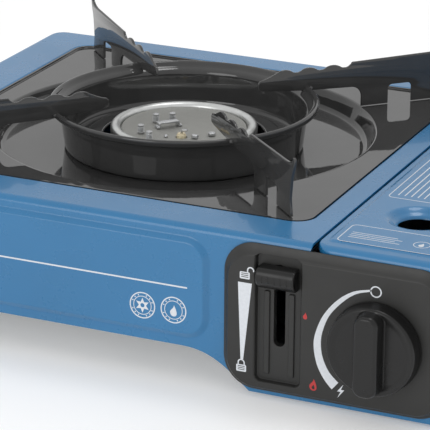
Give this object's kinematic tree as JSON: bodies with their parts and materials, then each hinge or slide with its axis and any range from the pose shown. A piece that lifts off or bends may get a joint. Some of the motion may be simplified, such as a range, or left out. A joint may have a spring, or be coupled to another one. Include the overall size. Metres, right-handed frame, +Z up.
{
  "type": "camping stove",
  "caption": "Portable tabletop gas stove with a round burner, cross pan supports, drip tray, rotary control, cartridge lock lever and a lidded bay for a lying gas cartridge.",
  "frame": {"origin": "on the ground, below the centre of the whole stove's box", "axes": "+X to the cartridge side, -Y to the front with the controls, +Z up"},
  "size_m": [0.3586, 0.295, 0.1124],
  "materials": {
    "blue_paint": "gloss",
    "black_enamel": "gloss",
    "black_plastic": "satin",
    "galvanised_sheet": "spangled, dull",
    "burner_aluminium": "satin",
    "steel": "satin",
    "brass": "turned",
    "die_cast_zinc": "as cast",
    "ceramic": "glazed",
    "black_rubber": "matt",
    "lead_insulation": "satin"
  },
  "bodies": {
    "case": {"body_shell": "blue_paint", "control_panel": "black_plastic", "piezo_body": "black_plastic", "base_plate": "galvanised_sheet", "partition_plate": "galvanised_sheet", "cartridge_cradle": "galvanised_sheet", "burner_stand_left": "galvanised_sheet", "burner_stand_right": "galvanised_sheet", "regulator_bracket_left": "galvanised_sheet", "regulator_bracket_right": "galvanised_sheet", "burner_bowl": "burner_aluminium", "flame_plate": "burner_aluminium", "heat_plate": "burner_aluminium", "burner_post_1": "steel", "burner_post_2": "steel", "burner_post_3": "steel", "burner_post_4": "steel", "ground_post": "steel", "plate_screw": "steel", "plate_rivet": "steel", "flame_bridge": "steel", "burner_screw_left": "steel", "burner_screw_right": "steel", "electrode_pin": "steel", "mixing_tube": "steel", "crank_pin": "steel", "crank_spring": "steel", "hinge_pin_front": "steel", "hinge_pin_back": "steel", "regulator_screw_left": "steel", "regulator_screw_right": "steel", "panel_screw_left": "steel", "panel_screw_right": "steel", "base_screw_front_left": "steel", "base_screw_front_right": "steel", "base_screw_back_left": "steel", "base_screw_back_right": "steel", "gas_jet": "brass", "regulator_body": "die_cast_zinc", "electrode_sleeve": "ceramic", "cartridge_seal": "black_rubber", "foot_front_left": "black_rubber", "foot_front_right": "black_rubber", "foot_back_left": "black_rubber", "foot_back_right": "black_rubber", "ignition_lead": "lead_insulation"},
    "knob": {"control_knob": "black_plastic", "valve_stem": "brass"},
    "lever": {"lock_lever": "black_plastic"},
    "crank": {"lock_crank": "steel"},
    "hook": {"cartridge_hook": "galvanised_sheet"},
    "lid": {"canister_lid": "blue_paint"},
    "tray": {"drip_tray": "black_enamel"},
    "support": {"support_ring": "black_enamel", "support_fin_front_left": "black_enamel", "support_fin_front_right": "black_enamel", "support_fin_back_left": "black_enamel", "support_fin_back_right": "black_enamel"},
    "plunger": {"piezo_plunger": "black_plastic"}
  },
  "joints": [
    {"name": "knob_turn", "type": "hinge", "parent": "case", "child": "knob", "pos_m": [0.1355, -0.1315, 0.0379], "axis": [0, -1, 0], "range_deg": [0, 150]},
    {"name": "lock_slide", "type": "slide", "parent": "case", "child": "lever", "axis": [0, 0, -1], "range_m": [0, 0.032]},
    {"name": "crank_turn", "type": "hinge", "parent": "case", "child": "crank", "pos_m": [0.1067, -0.087, 0.045], "axis": [1, 0, 0], "range_deg": [0, 56]},
    {"name": "hook_slide", "type": "slide", "parent": "case", "child": "hook", "axis": [0, -1, 0], "range_m": [0, 0.009]},
    {"name": "lid_hinge", "type": "hinge", "parent": "case", "child": "lid", "pos_m": [0.1053, 0, 0.078], "axis": [0, -1, 0], "range_deg": [0, 92]},
    {"name": "tray_lift", "type": "slide", "parent": "case", "child": "tray", "axis": [0, 0, 1], "range_m": [0, 0.055]},
    {"name": "support_lift", "type": "slide", "parent": "tray", "child": "support", "axis": [0, 0, 1], "range_m": [0, 0.06]},
    {"name": "plunger_press", "type": "slide", "parent": "case", "child": "plunger", "axis": [1, 0, 0], "range_m": [0, 0.004], "stiffness_N_per_m": 200}
  ],
  "couplings": [
    {"joint": "crank_turn", "follows": "lock_slide", "rad_per_m": 30.54},
    {"joint": "hook_slide", "follows": "lock_slide", "ratio": 0.28}
  ]
}
